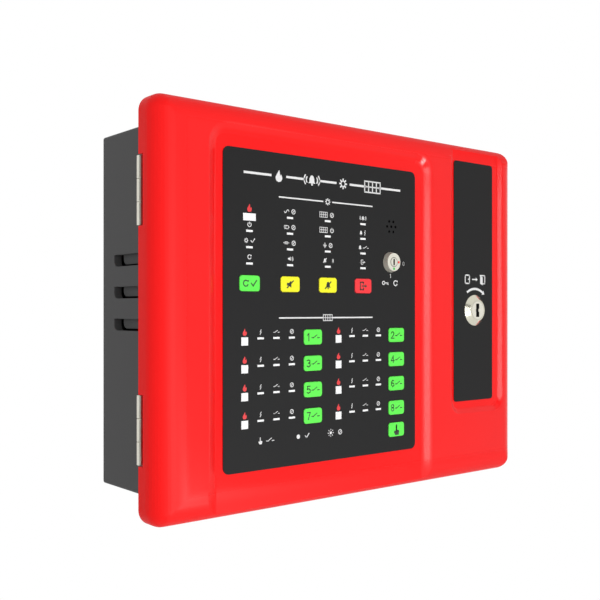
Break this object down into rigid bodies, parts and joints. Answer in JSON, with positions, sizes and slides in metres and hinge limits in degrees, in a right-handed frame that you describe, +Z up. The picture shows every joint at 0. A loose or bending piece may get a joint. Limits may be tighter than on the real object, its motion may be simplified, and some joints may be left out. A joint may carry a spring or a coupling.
{
  "type": "fire alarm control panel",
  "caption": "Wall-mounted fire alarm control panel with a hinged red moulded door, zone keys and indicators, a key switch and a cam lock over a dark grey steel box.",
  "frame": {"origin": "centre of the four wall screw holes, on the back face that lies on the wall", "axes": "+X to the right seen from the front, +Y into the wall, +Z up; the door faces -Y"},
  "size_m": [0.334, 0.0956, 0.259],
  "materials": {
    "box_paint": "satin dark grey powder coat",
    "hinge_steel": "plated",
    "screw_steel": "zinc plated",
    "board_green": "solder mask over glass laminate",
    "terminal_plastic": "moulded",
    "relay_plastic": "moulded",
    "capacitor_sleeve": "shrunk sleeve on a can",
    "black_plastic": "moulded",
    "fuse_metal": "plated caps and clips",
    "core_steel": "varnished laminations",
    "coil_tape": "tape over copper",
    "plated_sheet": "zinc plated",
    "mains_plastic": "moulded",
    "earth_brass": "plain",
    "battery_case": "moulded",
    "door_red": "fine moulded satin",
    "label_grey": "satin film",
    "window_white": "clouded light guide",
    "lock_metal": "plated",
    "key_green": "satin",
    "key_yellow": "satin",
    "key_red": "satin"
  },
  "bodies": {
    "box": {"back_box": "box_paint", "hinge_box_leaves": "hinge_steel", "hinge_pins": "hinge_steel", "hinge_box_screws": "screw_steel", "main_board_plate": "board_green", "board_spacers": "screw_steel", "board_screws": "screw_steel", "field_terminals": "terminal_plastic", "output_terminals": "terminal_plastic", "relays": "relay_plastic", "capacitors": "capacitor_sleeve", "board_chips": "black_plastic", "board_fuses": "fuse_metal", "main_header": "black_plastic", "transformer_core": "core_steel", "transformer_coil": "coil_tape", "transformer_brackets": "plated_sheet", "transformer_screws": "screw_steel", "mains_terminal": "mains_plastic", "mains_fuse_holder": "black_plastic", "earth_stud": "earth_brass", "battery_left": "battery_case", "battery_right": "battery_case", "battery_strap": "plated_sheet", "battery_strap_screws": "screw_steel"},
    "door": {"door_shell": "door_red", "main_label": "label_grey", "side_label": "label_grey", "indicator_windows": "window_white", "indicator_leds": "window_white", "display_board": "board_green", "display_screws": "screw_steel", "display_chips": "black_plastic", "display_header": "black_plastic", "tact_switches": "black_plastic", "buzzer": "black_plastic", "hinge_door_leaves": "hinge_steel", "hinge_door_screws": "screw_steel", "switch_body": "lock_metal", "switch_nut": "screw_steel", "lock_body": "lock_metal", "lock_nut": "screw_steel"},
    "lock_cylinder": {"lock_plug": "lock_metal", "lock_cam": "lock_metal", "cam_screw": "screw_steel"},
    "switch_cylinder": {"switch_plug": "lock_metal"},
    "key_reset": {"key_reset": "key_green"},
    "key_buzzer_silence": {"key_buzzer_silence": "key_yellow"},
    "key_sounder_silence": {"key_sounder_silence": "key_yellow"},
    "key_evacuate": {"key_evacuate": "key_red"},
    "key_zone_1": {"key_zone_1": "key_green"},
    "key_zone_2": {"key_zone_2": "key_green"},
    "key_zone_3": {"key_zone_3": "key_green"},
    "key_zone_4": {"key_zone_4": "key_green"},
    "key_zone_5": {"key_zone_5": "key_green"},
    "key_zone_6": {"key_zone_6": "key_green"},
    "key_zone_7": {"key_zone_7": "key_green"},
    "key_zone_8": {"key_zone_8": "key_green"},
    "key_touch": {"key_touch": "key_green"}
  },
  "joints": [
    {"name": "door_hinge", "type": "hinge", "parent": "box", "child": "door", "pos_m": [-0.1648, -0.0717, 0], "axis": [0, 0, -1], "range_deg": [0, 120]},
    {"name": "lock_turn", "type": "hinge", "parent": "door", "child": "lock_cylinder", "pos_m": [0.1194, -0.08, 0], "axis": [0, -1, 0], "range_deg": [0, 90]},
    {"name": "key_switch_turn", "type": "hinge", "parent": "door", "child": "switch_cylinder", "pos_m": [0.0271, -0.085, 0.0346], "axis": [0, -1, 0], "range_deg": [0, 90]},
    {"name": "press_reset", "type": "slide", "parent": "door", "child": "key_reset", "axis": [0, 1, 0], "range_m": [0, 0.0005], "stiffness_N_per_m": 800},
    {"name": "press_buzzer_silence", "type": "slide", "parent": "door", "child": "key_buzzer_silence", "axis": [0, 1, 0], "range_m": [0, 0.0005], "stiffness_N_per_m": 800},
    {"name": "press_sounder_silence", "type": "slide", "parent": "door", "child": "key_sounder_silence", "axis": [0, 1, 0], "range_m": [0, 0.0005], "stiffness_N_per_m": 800},
    {"name": "press_evacuate", "type": "slide", "parent": "door", "child": "key_evacuate", "axis": [0, 1, 0], "range_m": [0, 0.0005], "stiffness_N_per_m": 800},
    {"name": "press_zone_1", "type": "slide", "parent": "door", "child": "key_zone_1", "axis": [0, 1, 0], "range_m": [0, 0.0005], "stiffness_N_per_m": 800},
    {"name": "press_zone_2", "type": "slide", "parent": "door", "child": "key_zone_2", "axis": [0, 1, 0], "range_m": [0, 0.0005], "stiffness_N_per_m": 800},
    {"name": "press_zone_3", "type": "slide", "parent": "door", "child": "key_zone_3", "axis": [0, 1, 0], "range_m": [0, 0.0005], "stiffness_N_per_m": 800},
    {"name": "press_zone_4", "type": "slide", "parent": "door", "child": "key_zone_4", "axis": [0, 1, 0], "range_m": [0, 0.0005], "stiffness_N_per_m": 800},
    {"name": "press_zone_5", "type": "slide", "parent": "door", "child": "key_zone_5", "axis": [0, 1, 0], "range_m": [0, 0.0005], "stiffness_N_per_m": 800},
    {"name": "press_zone_6", "type": "slide", "parent": "door", "child": "key_zone_6", "axis": [0, 1, 0], "range_m": [0, 0.0005], "stiffness_N_per_m": 800},
    {"name": "press_zone_7", "type": "slide", "parent": "door", "child": "key_zone_7", "axis": [0, 1, 0], "range_m": [0, 0.0005], "stiffness_N_per_m": 800},
    {"name": "press_zone_8", "type": "slide", "parent": "door", "child": "key_zone_8", "axis": [0, 1, 0], "range_m": [0, 0.0005], "stiffness_N_per_m": 800},
    {"name": "press_touch", "type": "slide", "parent": "door", "child": "key_touch", "axis": [0, 1, 0], "range_m": [0, 0.0005], "stiffness_N_per_m": 800}
  ]
}
